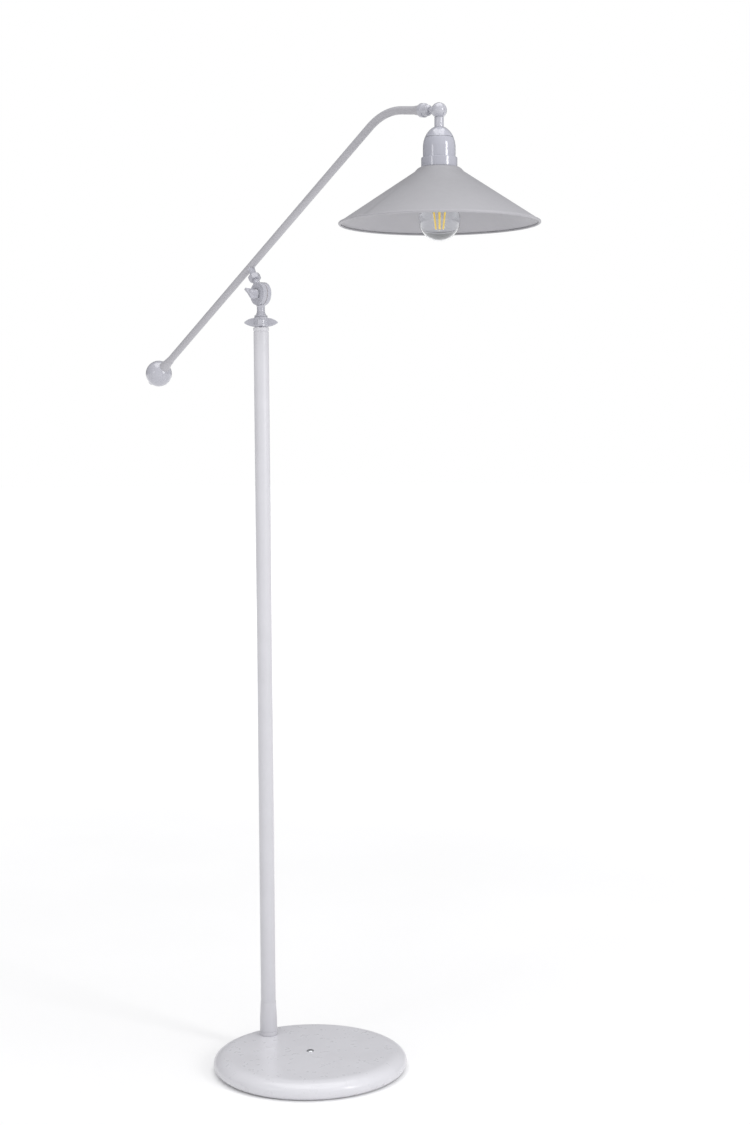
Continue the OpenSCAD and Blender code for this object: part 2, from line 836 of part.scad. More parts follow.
module swivel_collar() {
    r = collar_d / 2;
    small = r - 1.9;
    color(enamel) at_end()
    difference() {
        translate([-collar_far + 0.1, 0, 0]) rotate([0, 90, 0]) rotate_extrude() polygon([
            [0, 0], [r - 0.8, 0], [r, 0.8], [r, collar_far - collar_mid - 1], [r - 1, collar_far - collar_mid],
            [small, collar_far - collar_mid + 0.6], [small - 0.6, collar_far - collar_near - 2.4],
            [small - 2.6, collar_far - collar_near], [0, collar_far - collar_near]
        ]);
        x_rod(shank_r + fit, -collar_far - 1, -collar_near + 2);
    }
}

// ---- head swivel ----

module swivel_arm_half() {
    color(enamel) at_end()
    difference() {
        union() {
            intersection() {
                sphere(r = ball_r);
                half_space(-1, disc_y / 2, ball_r + 2);
            }
            x_rod(shank_r, -shank_l, -swivel_out + 0.5);
        }
        intersection() {
            sphere(r = ball_r + gap);
            half_space(1, -disc_y / 2, ball_r + 4);
        }
        difference() {
            y_rod(swivel_out, -recess_d + gap, 1);
            y_rod(swivel_in, -ball_r, 1);
        }
        y_rod(swivel_screw_r + fit, -ball_r + 3, 1);
        translate([0, -lead_y * 0.8, 0]) x_rod(lead_bore_r - 0.1, -shank_l - 1, -swivel_in - 1);
    }
}

module swivel_screw() {
    seat = ball_r - 4.2;
    color(steel) at_end()
    difference() {
        union() {
            y_rod(swivel_screw_r, -ball_r + 3.4, seat + 1);
            y_rod(3.6, seat + 0.7, ball_r - 0.6);
        }
        translate([0, ball_r - 1.6, 0]) rotate([-90, 0, 0]) cylinder(r = 1.5, h = 3, $fn = 6);
    }
}

module swivel_washer() {
    seat = ball_r - 4.2;
    color(steel) at_end()
    difference() {
        y_rod(3.7, seat, seat + 0.7);
        y_rod(swivel_screw_r + fit, seat - 1, seat + 2);
    }
}

module swivel_head_half() {
    seat = ball_r - 4.2;
    nipple_end = stem_end - head_z - 11;
    color(enamel) translate([head_x, 0, head_z])
    difference() {
        union() {
            intersection() {
                sphere(r = ball_r);
                half_space(1, disc_y / 2, ball_r + 2);
            }
            z_rod(stem_d / 2, stem_end - head_z, -swivel_out + 0.5);
            z_rod(5, nipple_end, stem_end - head_z + 1);
        }
        intersection() {
            sphere(r = ball_r + gap);
            half_space(-1, -disc_y / 2, ball_r + 4);
        }
        difference() {
            y_rod(swivel_out, -1, recess_d - gap);
            y_rod(swivel_in, -1, ball_r);
        }
        y_rod(swivel_screw_r + fit, -1, ball_r);
        y_rod(3.8, seat - 0.05, ball_r + 1);
        translate([0, lead_y, 0]) z_rod(lead_bore_r, nipple_end - 1, -swivel_in - 1);
    }
}

// ---- lampholder and shade ----

// Outline of the domed top of the lampholder between two heights, shrunk by an inset
function dome_outline(inset, low, high) =
    let (ry = dome_h - inset, rx = holder_r - inset, from = asin((low - dome_z) / ry), to = asin((high - dome_z) / ry))
    arc(0, dome_z, rx, ry, from, to, 10);

module stem_nut() {
    top = stem_end - 1.8;
    color(brass) at_head() hex_nut(14, 5 + fit, top - 4, top);
}

module holder_cap() {
    outer = dome_outline(0, seam_z + 0.4, stem_end);
    inner = dome_outline(holder_wall, seam_z + 0.4, stem_end - 1.7);
    back = [for (i = [len(inner) - 1:-1:0]) inner[i]];
    color(paint) at_head()
    rotate_extrude() polygon(concat(outer, [[5 + fit, stem_end], [5 + fit, stem_end - 1.7]], back));
}

module holder_body() {
    outer = dome_outline(0, dome_z, seam_z);
    inner = dome_outline(holder_wall, dome_z, seam_z);
    back = [for (i = [len(inner) - 1:-1:0]) inner[i]];
    color(enamel) at_head()
    rotate_extrude() polygon(concat(
        [[holder_r, body_z]], outer, back, [[holder_r - holder_wall, body_z]]));
}

module holder_ring() {
    inner = skirt_r + fit;
    lip = 3.2;
    color(enamel) at_head()
    rotate_extrude() polygon(concat(
        [[inner, ring_z], [ring_r - 0.6, ring_z], [ring_r, ring_z + 0.6]],
        arc(ring_r - lip, body_z - lip, lip, lip, 0, 90, 6),
        [[inner, body_z]]
    ));
}

module socket_skirt() {
    inner = skirt_r - skirt_wall;
    color([0.9, 0.9, 0.9]) at_head()
    rotate_extrude() polygon([
        [inner, skirt_z], [skirt_r - 0.5, skirt_z], [skirt_r, skirt_z + 0.5], [skirt_r, body_z],
        [holder_r - holder_wall - 0.3, body_z], [holder_r - holder_wall - 0.3, body_z + 2],
        [inner, body_z + 2]
    ]);
}

module socket_core() {
    r = skirt_r - skirt_wall - fit;
    color(ceramic) at_head()
    difference() {
        union() {
            z_rod(r, core_z, body_z + 8);
            z_rod(9, body_z + 7, core_z + core_h);
        }
        for (side = [-1, 1]) {
            translate([12.5 * side, 0, 0]) z_rod(1.6 + fit, core_z + 4, body_z + 9);
            translate([0, 12.5 * side, 0]) z_rod(lead_bore_r, core_z - 1, body_z + 9);
        }
    }
}

module screw_shell() {
    shell_r = bulb_cap_r + 0.5;
    low = skirt_z + 2;
    color(brass) at_head()
    difference() {
        union() {
            z_rod(shell_r + 0.5, low, core_z);
            z_rod(skirt_r - skirt_wall - fit, core_z - 0.6, core_z);
        }
        z_rod(shell_r, low - 1, core_z - 0.6);
        z_rod(7, low - 1, core_z + 1);
    }
}

module centre_contact() {
    color(brass) at_head() {
        z_rod(4, bulb_top + 0.1, core_z);
    }
}

module terminal_screws() {
    color(steel) at_head()
    for (side = [-1, 1]) {
        translate([12.5 * side, 0, 0])
        difference() {
            union() {
                z_rod(1.6, core_z + 5, body_z + 9);
                z_rod(3, body_z + 8, body_z + 10.4);
            }
            translate([-4, -0.5, body_z + 9.6]) cube([8, 1, 2]);
        }
    }
}

module shade() {
    hole_r = skirt_r + fit;
    slope = atan((shoulder_z - rim_z - bead_r) / (shade_r - bead_r - shoulder_r));
    dz = shade_t / cos(slope);
    blend = 6;
    outer = concat(
        [[hole_r, shade_top], [shoulder_r - blend, shade_top], [shoulder_r - blend / 3, shade_top - 1.3],
         [shoulder_r + blend / 2, shoulder_z - blend / 2 * tan(slope) + 0.4]],
        [[shade_r - bead_r, rim_z + bead_r]]);
    color([0.83, 0.83, 0.85]) at_head()
    union() {
        rotate_extrude($fn = 96) polygon(concat(outer,
            [for (i = [len(outer) - 1:-1:2]) outer[i] - [shade_t * 0.2, dz]],
            [[shoulder_r - blend, shade_top - shade_t], [hole_r, shade_top - shade_t]]));
        rotate_extrude($fn = 96) translate([shade_r - bead_r, rim_z + bead_r]) circle(r = bead_r, $fn = 24);
    }
}

module shade_ring() {
    top = shade_top - shade_t;
    color(enamel) at_head()
    difference() {
        z_rod(skirt_r + 4.2, top - shade_ring_h, top);
        z_rod(skirt_r + fit, top - shade_ring_h - 1, top + 1);
        for (a = [0:30:330]) {
            rotate(a) translate([skirt_r + 5, 0, 0]) z_rod(1.8, top - shade_ring_h - 1, top - 1.4);
        }
    }
}

// The lead from the swivel down to the terminals
module head_lead() {
    r = (swivel_in + swivel_out) / 2;
    top = stem_end - 12;
    color(lead_colour)
    lead_along([
        [head_x - r, lead_y, head_z], [head_x - r * 0.7, lead_y, head_z - r * 0.7],
        [head_x, lead_y, head_z - swivel_out], [head_x, lead_y, stem_end - 4], [head_x, lead_y, top],
        [head_x, lead_y + 3, top - 4], [head_x, 12.5, body_z + 12], [head_x, 12.5, core_z + 6]
    ], lead_r * 0.9, 8);
}

// ---- bulb ----

// Outline of the globe from its bottom to its neck, shrunk by the glass
function globe_outline(inset) = concat(
    arc(0, bulb_z, bulb_r - inset, bulb_r - inset, -90, flank, 20),
    [for (i = [1:8]) let (a = flank * (1 - i / 8))
        [(bulb_r + flank_r) * cos(flank) - (flank_r + inset) * cos(a),
         bulb_z + (bulb_r + flank_r) * sin(flank) - (flank_r + inset) * sin(a)]]
);

module bulb_globe() {
    outer = globe_outline(0);
    inner = globe_outline(glass_t);
    back = [for (i = [len(inner) - 1:-1:0]) inner[i]];
    color([0.9, 0.95, 1, 0.35]) at_head()
    rotate_extrude($fn = 96) polygon(concat(outer, back));
}

module bulb_cap() {
    low = bulb_neck_z;
    rows = 5;
    pitch = (bulb_cap_top - 2.4 - low) / rows;
    crest = 0.7;
    color(steel) at_head()
    difference() {
        rotate_extrude() polygon(concat(
            [[0, low + 0.05], [bulb_cap_r - crest, low + 0.05]],
            [for (i = [0:rows - 1], s = [0.25, 0.5, 0.75, 1])
                [bulb_cap_r - crest * (s == 0.5 ? 0 : s == 1 ? 1 : 0.35), low + 0.4 + pitch * (i + s)]],
            [[8, bulb_cap_top], [0, bulb_cap_top]]
        ));
        z_rod(bulb_cap_r - crest - 0.6, low - 1, bulb_cap_top - 2.6);
        z_rod(4.6, low, bulb_cap_top + 1);
    }
}

module bulb_insulator() {
    tip_r = 4.4;
    color([0.12, 0.12, 0.13]) at_head()
    rotate_extrude() polygon([
        [0, bulb_cap_top - 0.9], [tip_r, bulb_cap_top - 0.9], [tip_r, bulb_cap_top],
        [7.6, bulb_cap_top + 0.05], [5.6, bulb_cap_top + insulator_h], [tip_r, bulb_cap_top + insulator_h],
        [tip_r - 1, bulb_top], [0, bulb_top]
    ]);
}

module bulb_stem() {
    low = bulb_z + bulb_r * 0.72;
    color([0.88, 0.93, 0.98, 0.4]) at_head()
    rotate_extrude() polygon([
        [0, low - 2], [1.6, low - 1.4], [2.4, low], [3.2, low + 8], [6.4, bulb_neck_z - 3],
        [bulb_neck_r - glass_t - 0.6, bulb_neck_z], [bulb_neck_r - glass_t - 0.6, bulb_neck_z + 1.2], [0, bulb_neck_z + 1.2]
    ]);
}

module bulb_filaments() {
    sticks = 4;
    length = bulb_r;
    top_r = 8.6;
    lean = -6.5;
    top = bulb_z + bulb_r * 0.55;
    color([0.95, 0.75, 0.2]) at_head()
    for (i = [0:sticks - 1]) {
        rotate(i * 360 / sticks + 45) translate([top_r, 0, top]) rotate([0, 180 - lean, 0])
            cylinder(r = 0.9, h = length);
    }
}

base_cover();
base_weight();
base_plate();
base_pad();
plate_screws();
centre_screw();
centre_nut();
cord_bushing();
post_nipple();
post_washer();
post_nut();
foot_collar();
foot_insert();
post_tube();
post_bush();
cap_ring();
base_lead();
hand_nut();
knuckle_lower();
spigot_washer();
spigot_nut();
tilt_bolt();
friction_washer();
tilt_washer();
neck_lead();
tilt_wing_nut();
knuckle_upper();
saddle_nipple();
saddle_lock_nut();
arm_saddle();
arm_tube();
arm_lead();
counterweight_sleeve();
counterweight_ball();
counterweight_button();
counterweight_screw();
arm_end_insert();
arm_end_ferrule();
swivel_collar();
swivel_arm_half();
swivel_washer();
swivel_screw();
swivel_head_half();
stem_nut();
holder_cap();
holder_body();
holder_ring();
socket_skirt();
socket_core();
screw_shell();
centre_contact();
terminal_screws();
shade();
shade_ring();
head_lead();
bulb_globe();
bulb_cap();
bulb_insulator();
bulb_stem();
bulb_filaments();
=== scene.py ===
"""Adjustable arm floor lamp: camera, light, materials and detailed pieces over the CAD frame. Metres."""
import json
import math

import bmesh
import bpy
from mathutils import Matrix, Vector


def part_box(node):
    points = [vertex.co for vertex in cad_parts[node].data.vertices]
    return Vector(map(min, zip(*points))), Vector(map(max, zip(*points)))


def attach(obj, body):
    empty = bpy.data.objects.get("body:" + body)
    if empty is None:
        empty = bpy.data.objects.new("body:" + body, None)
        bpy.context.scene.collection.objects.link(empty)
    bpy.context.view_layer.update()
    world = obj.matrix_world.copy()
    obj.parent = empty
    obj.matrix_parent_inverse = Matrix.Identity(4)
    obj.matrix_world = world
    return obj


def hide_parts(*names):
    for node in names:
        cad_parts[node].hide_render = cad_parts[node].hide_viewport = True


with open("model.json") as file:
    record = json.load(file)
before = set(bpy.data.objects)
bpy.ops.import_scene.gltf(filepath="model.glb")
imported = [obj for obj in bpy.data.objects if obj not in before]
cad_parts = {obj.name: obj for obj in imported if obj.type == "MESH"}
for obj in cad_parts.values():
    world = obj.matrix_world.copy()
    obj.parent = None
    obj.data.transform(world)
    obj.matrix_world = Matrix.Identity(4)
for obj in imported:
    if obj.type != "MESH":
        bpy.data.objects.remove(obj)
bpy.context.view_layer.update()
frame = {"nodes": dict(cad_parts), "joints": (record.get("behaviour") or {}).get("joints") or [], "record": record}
MM = 0.001

# ---- sizes that the CAD model is made to ----
ARM_SLOPE = math.radians(31)
BEND = math.radians(39)
BEND_R = 110 * MM
ARM_R = 6 * MM
ARM_RISE = 53 * MM          # from the hinge up to the arm's centre line
ARM_FRONT = 394 * MM        # from the hinge to the corner of the bend
POST_R = 12.2 * MM
TUBE_WALL = 1.5 * MM
SPIGOT_HOLE_R = 6.06 * MM
HOLDER_WALL = 1.5 * MM
HOLDER_MOUTH_R = 19.6 * MM
COVER_T = 1.2 * MM
SHADE_T = 1.0 * MM
SHOULDER_R = 25.8 * MM + 7 * MM
BEAD_R = 1.9 * MM
GLASS_T = 0.8 * MM
HALF_PI = math.pi / 2

JOINTS = {j["name"]: Vector(j.get("pos_m", (0, 0, 0))) for j in frame["joints"]}
HINGE = JOINTS["arm_tilt"]
HEAD = JOINTS["head_tilt"]
POST_X = HINGE.x
DROOP = BEND - ARM_SLOPE

# ---- studio ----
BACKDROP = 1.0              # white that the camera sees behind the lamp
FLOOR_R = 40.0
FLOOR_GLOW = 0.6            # glow of the far floor, which hides the horizon
GLOW_UNDER_LAMP = 0.06
GLOW_FROM, GLOW_TO = 0.4, 7.0
TENT_AXIS = (0.97, -0.2, 0.1)
TENT_LOW = 0.2
TENT_HIGH = 0.8

# ---- frames that the tilted pieces are made in ----
ON_POST = Matrix.Translation((POST_X, 0, 0))
ON_HEAD = Matrix.Translation((HEAD.x, 0, 0))
ALONG_ARM = Matrix.Translation(HINGE) @ Matrix.Rotation(-ARM_SLOPE, 4, "Y")
ALONG_END = Matrix.Translation(HEAD) @ Matrix.Rotation(DROOP, 4, "Y")
Z_TO_X = Matrix.Rotation(HALF_PI, 4, "Y")
Z_TO_Y = Matrix.Rotation(-HALF_PI, 4, "X")


def top(node):
    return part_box(node)[1].z


def body_of(node):
    """The moving body that a CAD node belongs to."""
    for body, nodes in frame["record"]["behaviour"]["bodies"].items():
        if node in nodes:
            return body
    raise ValueError(node)


# ---- materials ----
NOISE_LOW, NOISE_HIGH = 0.3, 0.7
EDGE_FROM, EDGE_TO = 0.56, 0.66


class Graph:
    """A short way to write a node material."""

    def __init__(self, name):
        self.material = bpy.data.materials.new(name)
        self.material.use_nodes = True
        self.tree = self.material.node_tree
        self.shader = self.tree.nodes["Principled BSDF"]
        self.place = self.node("ShaderNodeTexCoord").outputs["Object"]

    def node(self, kind, **values):
        made = self.tree.nodes.new(kind)
        for key, value in values.items():
            setattr(made, key, value)
        return made

    def link(self, source, target):
        self.tree.links.new(source, target)

    def noise(self, size, detail=3.0, stretch=(1, 1, 1)):
        """Noise whose features are about size metres across."""
        mapping = self.node("ShaderNodeMapping")
        mapping.inputs["Scale"].default_value = [s / size for s in stretch]
        self.link(self.place, mapping.inputs["Vector"])
        texture = self.node("ShaderNodeTexNoise")
        texture.inputs["Scale"].default_value = 1.0
        texture.inputs["Detail"].default_value = detail
        texture.inputs["Roughness"].default_value = 0.5
        self.link(mapping.outputs["Vector"], texture.inputs["Vector"])
        return texture.outputs["Fac"]

    def spread(self, source, low, high):
        """The middle of a noise, where most of its values lie, spread over a range."""
        made = self.node("ShaderNodeMapRange")
        made.inputs["From Min"].default_value = NOISE_LOW
        made.inputs["From Max"].default_value = NOISE_HIGH
        made.inputs["To Min"].default_value = low
        made.inputs["To Max"].default_value = high
        self.link(source, made.inputs["Value"])
        return made.outputs["Result"]

    def mix(self, factor, first, second):
        made = self.node("ShaderNodeMix", data_type="RGBA")
        if isinstance(factor, float):
            made.inputs["Factor"].default_value = factor
        else:
            self.link(factor, made.inputs["Factor"])
        for key, colour in (("A", first), ("B", second)):
            socket = [s for s in made.inputs if s.name == key and s.type == "RGBA"][0]
            if isinstance(colour, (tuple, list)):
                socket.default_value = (*colour, 1.0)
            else:
                self.link(colour, socket)
        return [s for s in made.outputs if s.type == "RGBA"][0]

    def bump(self, source, depth, strength=1.0, under=None):
        made = self.node("ShaderNodeBump")
        made.inputs["Strength"].default_value = strength
        made.inputs["Distance"].default_value = depth
        self.link(source, made.inputs["Height"])
        if under is not None:
            self.link(under, made.inputs["Normal"])
        return made.outputs["Normal"]

    def edges(self):
        """1 on outer edges and corners, 0 elsewhere."""
        geometry = self.node("ShaderNodeNewGeometry")
        made = self.node("ShaderNodeMapRange")
        made.inputs["From Min"].default_value = EDGE_FROM
        made.inputs["From Max"].default_value = EDGE_TO
        self.link(geometry.outputs["Pointiness"], made.inputs["Value"])
        return made.outputs["Result"]

    def set(self, **values):
        for key, value in values.items():
            self.shader.inputs[key.replace("_", " ")].default_value = value

    def finish(self, colour=None, roughness=None, normal=None):
        if colour is not None:
            self.link(colour, self.shader.inputs["Base Color"])
        if roughness is not None:
            self.link(roughness, self.shader.inputs["Roughness"])
        if normal is not None:
            self.link(normal, self.shader.inputs["Normal"])
        return self.material


def shaded(colour, factor):
    """The colour, darker or lighter by a factor."""
    return tuple(c * factor for c in colour)


def paint(name, colour, rough, grain, depth, coat=0.0, coat_rough=0.1):
    """Sprayed paint: orange peel, faint clouding, and outer edges a little lighter, a painted highlight."""
    g = Graph(name)
    g.set(Specular_IOR_Level=0.5, Coat_Weight=coat, Coat_Roughness=coat_rough)
    cloud = g.spread(g.noise(0.05, 4), 0.0, 1.0)
    tone = g.mix(cloud, shaded(colour, 0.97), shaded(colour, 1.02))
    # Outer edges and corners a little lighter: a painted highlight.
    edge_highlighted = g.mix(g.edges(), tone, g.mix(0.3, tone, shaded(colour, 1.12)))
    sheen = g.spread(g.noise(0.012, 3), rough - 0.04, rough + 0.05)
    peel = g.bump(g.noise(grain, 2), depth)
    return g.finish(edge_highlighted, sheen, g.bump(g.noise(grain * 7, 2), depth * 1.6, 0.6, peel))


def shade_paint(name, colour):
    """Spun sheet under matt paint: fine rings round the axis, with a powdery grain."""
    g = Graph(name)
    moved = g.node("ShaderNodeMapping")
    moved.inputs["Location"].default_value = (-HEAD.x, 0, 0)
    g.link(g.place, moved.inputs["Vector"])
    split = g.node("ShaderNodeSeparateXYZ")
    g.link(moved.outputs["Vector"], split.inputs["Vector"])
    flat = g.node("ShaderNodeCombineXYZ")
    g.link(split.outputs["X"], flat.inputs["X"])
    g.link(split.outputs["Y"], flat.inputs["Y"])
    radius = g.node("ShaderNodeVectorMath", operation="LENGTH")
    g.link(flat.outputs["Vector"], radius.inputs[0])
    rings = g.node("ShaderNodeTexNoise", noise_dimensions="1D")
    rings.inputs["Scale"].default_value = 300
    rings.inputs["Detail"].default_value = 2
    g.link(radius.outputs["Value"], rings.inputs["W"])
    g.set(Specular_IOR_Level=0.4)
    cloud = g.spread(g.noise(0.06, 4), 0.0, 1.0)
    tone = g.mix(cloud, shaded(colour, 0.97), shaded(colour, 1.03))
    # Outer edges and the rolled rim a quarter lighter: a painted highlight.
    edge_highlighted = g.mix(g.edges(), tone, shaded(colour, 1.25))
    grain = g.bump(g.noise(0.0009, 2), 0.00005)
    rough = g.spread(g.noise(0.01, 3), 0.46, 0.58)
    return g.finish(edge_highlighted, rough, g.bump(rings.outputs["Fac"], 0.00012, 0.5, grain))


def metal(name, colour, rough, brushed=(1, 1, 1), depth=0.00002, dirt=0.12):
    """Plated or turned metal with tool marks and a little tarnish."""
    g = Graph(name)
    g.set(Metallic=1.0)
    tarnish = g.spread(g.noise(0.006, 5), 0.0, 1.0)
    tone = g.mix(tarnish, colour, shaded(colour, 1 - dirt))
    marks = g.noise(0.0006, 3, brushed)
    patches = g.spread(g.noise(0.004, 4), rough - 0.06, rough + 0.1)
    return g.finish(tone, patches, g.bump(marks, depth))


def moulded(name, colour, rough, grain=0.0006, depth=0.00004, sheen=0.0):
    """Plastic, rubber, ceramic or fibre with a moulded grain."""
    g = Graph(name)
    g.set(Specular_IOR_Level=0.45, Sheen_Weight=sheen, Sheen_Roughness=0.5)
    tone = g.mix(g.spread(g.noise(0.01, 4), 0.0, 1.0), shaded(colour, 0.9), shaded(colour, 1.08))
    patches = g.spread(g.noise(0.003, 3), rough - 0.05, rough + 0.05)
    return g.finish(tone, patches, g.bump(g.noise(grain, 3), depth))


def glass(name, tint, rough):
    """Blown glass, a little uneven."""
    g = Graph(name)
    g.set(Base_Color=(*tint, 1), Transmission_Weight=1.0, IOR=1.46)
    return g.finish(roughness=g.spread(g.noise(0.02, 2), rough, rough + 0.015),
                    normal=g.bump(g.noise(0.015, 2), 0.00006, 0.3))


def filament_coat():
    """Yellow phosphor gel over the row of light-emitting chips."""
    g = Graph("phosphor_gel")
    g.material.cycles.emission_sampling = "NONE"
    colour = (0.86, 0.62, 0.10)
    tone = g.mix(g.spread(g.noise(0.0012, 3), 0.0, 1.0), shaded(colour, 0.85), shaded(colour, 1.1))
    g.set(Subsurface_Weight=0.2, Subsurface_Radius=(0.002, 0.0015, 0.0005), Subsurface_Scale=1.0)
    g.set(Emission_Color=(1.0, 0.72, 0.15, 1), Emission_Strength=0.35)
    return g.finish(tone, g.spread(g.noise(0.002, 2), 0.35, 0.5), g.bump(g.noise(0.0008, 2), 0.00008))


MATERIALS = {
    "satin_paint": paint("satin_powder_coat", (0.66, 0.655, 0.69), 0.34, grain=0.0014, depth=4e-6),
    "gloss_enamel": paint("gloss_enamel", (0.44, 0.441, 0.487), 0.2, grain=0.0022, depth=5e-6, coat=0.6),
    "shade_paint": shade_paint("spun_shade_paint", (0.30, 0.297, 0.314)),
    "cast_iron": metal("cast_iron", (0.09, 0.09, 0.10), 0.65, depth=0.0003, dirt=0.4),
    "felt": moulded("wool_felt", (0.05, 0.05, 0.055), 0.9, 0.0008, 0.0004, sheen=0.5),
    "zinc_steel": metal("zinc_plate", (0.62, 0.63, 0.65), 0.28, (1, 1, 4)),
    "brass": metal("turned_brass", (0.78, 0.58, 0.27), 0.24, (1, 1, 6)),
    "fibre": moulded("vulcanised_fibre", (0.16, 0.11, 0.08), 0.7),
    "black_rubber": moulded("black_rubber", (0.025, 0.025, 0.027), 0.6),
    "lead_sheath": moulded("lead_sheath", (0.70, 0.70, 0.71), 0.45),
    "skirt_plastic": moulded("skirt_plastic", (0.74, 0.74, 0.72), 0.35),
    "ceramic": moulded("steatite", (0.78, 0.76, 0.70), 0.3),
    "clear_glass": glass("clear_glass", (0.98, 0.99, 1.0), 0.0),
    "black_glass": moulded("black_glass", (0.015, 0.015, 0.018), 0.08),
    "led_filament": filament_coat(),
}
SLOT = {s["node"]: s["material_slot"] for s in frame["record"]["subparts"]}

# Darker and lighter copies of one finish that these pieces share: the arm's and post's satin paint and the
# holder's enamel are darker, painted shade; the shade's inside paint is lighter, painted light. The base's paint
# keeps the satin tone with more gloss.
ARM_PAINT_SHADED = paint("arm_powder_coat_painted_shade", (0.43, 0.425, 0.452), 0.4, grain=0.0014, depth=4e-6)
POST_PAINT_SHADED = paint("post_powder_coat_painted_shade", (0.60, 0.596, 0.628), 0.34, grain=0.0014, depth=4e-6)
BASE_PAINT = paint(
    "base_powder_coat", (0.66, 0.657, 0.69), 0.3, grain=0.0016, depth=4e-6, coat=0.2, coat_rough=0.15)
HOLDER_ENAMEL_SHADED = paint("holder_enamel_painted_shade", (0.41, 0.414, 0.468), 0.16, grain=0.0022, depth=6e-6, coat=0.7)
SHADE_INSIDE_LIT = shade_paint("shade_inside_painted_light", (0.385, 0.380, 0.402))


# ---- mesh tools ----
SHARP_ANGLE = math.radians(42)
BEVEL_ANGLE = math.radians(40)
WELD = 1e-6
ON_AXIS = 1e-7
WIDEST_REACH = 0.49         # of a side, so that two rounded corners never meet


def rounded(points, steps=6):
    """An outline from (r, z) or (r, z, corner radius) points, with each corner rounded."""
    out = []
    count = len(points)
    for i, point in enumerate(points):
        here = Vector(point[:2])
        radius = point[2] if len(point) > 2 else 0
        if radius <= 0 or i in (0, count - 1):
            out.append(here)
            continue
        before = Vector(points[i - 1][:2]) - here
        after = Vector(points[i + 1][:2]) - here
        turn = before.angle(after)
        room = WIDEST_REACH * before.length, WIDEST_REACH * after.length
        reach = min(radius / math.tan(turn / 2), *room)
        start = here + before.normalized() * reach
        end = here + after.normalized() * reach
        for k in range(steps + 1):
            t = k / steps
            out.append((1 - t) ** 2 * start + 2 * t * (1 - t) * here + t * t * end)
    return out


def arc(centre_r, centre_z, radius_r, radius_z, start, end, steps=24):
    """Points of an elliptical arc, angles in degrees from the +r direction."""
    out = []
    for i in range(steps + 1):
        a = math.radians(start + (end - start) * i / steps)
        out.append(Vector((centre_r + radius_r * math.cos(a), centre_z + radius_z * math.sin(a))))
    return out


def circle_angles(sides):
    return [2 * math.pi * k / sides for k in range(sides)]


def new_object(name, bm):
    """A smooth-shaded object from a mesh in the making, with its sharp corners kept."""
    bmesh.ops.recalc_face_normals(bm, faces=bm.faces)
    mesh = bpy.data.meshes.new(name)
    bm.to_mesh(mesh)
    bm.free()
    for polygon in mesh.polygons:
        polygon.use_smooth = True
    mesh.set_sharp_from_angle(angle=SHARP_ANGLE)
    made = bpy.data.objects.new(name, mesh)
    bpy.context.scene.collection.objects.link(made)
    return made


def lathe(name, outline, place, sides=96, closed=True):
    """An outline of (r, z) points turned about Z in the frame of place."""
    bm = bmesh.new()
    rings = []
    for r, z in [(p[0], p[1]) for p in outline]:
        if r < ON_AXIS:
            rings.append([bm.verts.new(place @ Vector((0, 0, z)))])
            continue
        ring = [Vector((r * math.cos(a), r * math.sin(a), z)) for a in circle_angles(sides)]
        rings.append([bm.verts.new(place @ point) for point in ring])
    pairs = list(zip(rings, rings[1:]))
    if closed:
        pairs.append((rings[-1], rings[0]))
    for low, high in pairs:
        for k in range(sides):
            after = k + 1
            quad = [low[k % len(low)], low[after % len(low)], high[after % len(high)], high[k % len(high)]]
            unique = list(dict.fromkeys(quad))
            if len(unique) > 2:
                bm.faces.new(unique)
    return new_object(name, bm)


def sweep(name, points, radius, sides=40):
    """A round bar along points, square to its path, with flat ends."""
    bm = bmesh.new()
    rings = []
    for i, point in enumerate(points):
        ahead = points[min(i + 1, len(points) - 1)] - points[max(i - 1, 0)]
        ahead.normalize()
        across = Vector((0, 1, 0)).cross(ahead).normalized()
        up = ahead.cross(across)
        ring = [point + radius * (math.cos(a) * across + math.sin(a) * up) for a in circle_angles(sides)]
        rings.append([bm.verts.new(spot) for spot in ring])
    for low, high in zip(rings, rings[1:]):
        for k in range(sides):
            bm.faces.new([low[k], low[(k + 1) % sides], high[(k + 1) % sides], high[k]])
    bm.faces.new(rings[0])
    bm.faces.new(rings[-1])
    return new_object(name, bm)


def dress(made, *nodes, material=None):
    """The piece stands for these CAD nodes, takes their finish and moves with their body."""
    made.data.materials.clear()
    made.data.materials.append(material or MATERIALS[SLOT[nodes[0]]])
    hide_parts(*nodes)
    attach(made, body_of(nodes[0]))
    return made


def cast(node, voxel, passes):
    """A casting: the CAD shape with its edges and inner corners softened, as they leave a mould."""
    bm = bmesh.new()
    bm.from_mesh(frame["nodes"][node].data)
    bmesh.ops.remove_doubles(bm, verts=bm.verts, dist=WELD)
    made = new_object(node + "_casting", bm)
    remesh = made.modifiers.new("skin", "REMESH")
    remesh.mode = "VOXEL"
    remesh.voxel_size = voxel
    remesh.use_smooth_shade = True
    soften = made.modifiers.new("soften", "SMOOTH")
    soften.factor = 0.5
    soften.iterations = passes
    return dress(made, node)


def edge_bevel(made, width):
    """Break the outer edges of a CAD mesh, which has to be welded first."""
    weld = made.modifiers.new("weld", "WELD")
    weld.merge_threshold = WELD
    bevel = made.modifiers.new("edge", "BEVEL")
    bevel.width = width
    bevel.segments = 2
    bevel.limit_method = "ANGLE"
    bevel.angle_limit = BEVEL_ANGLE


# ---- base ----

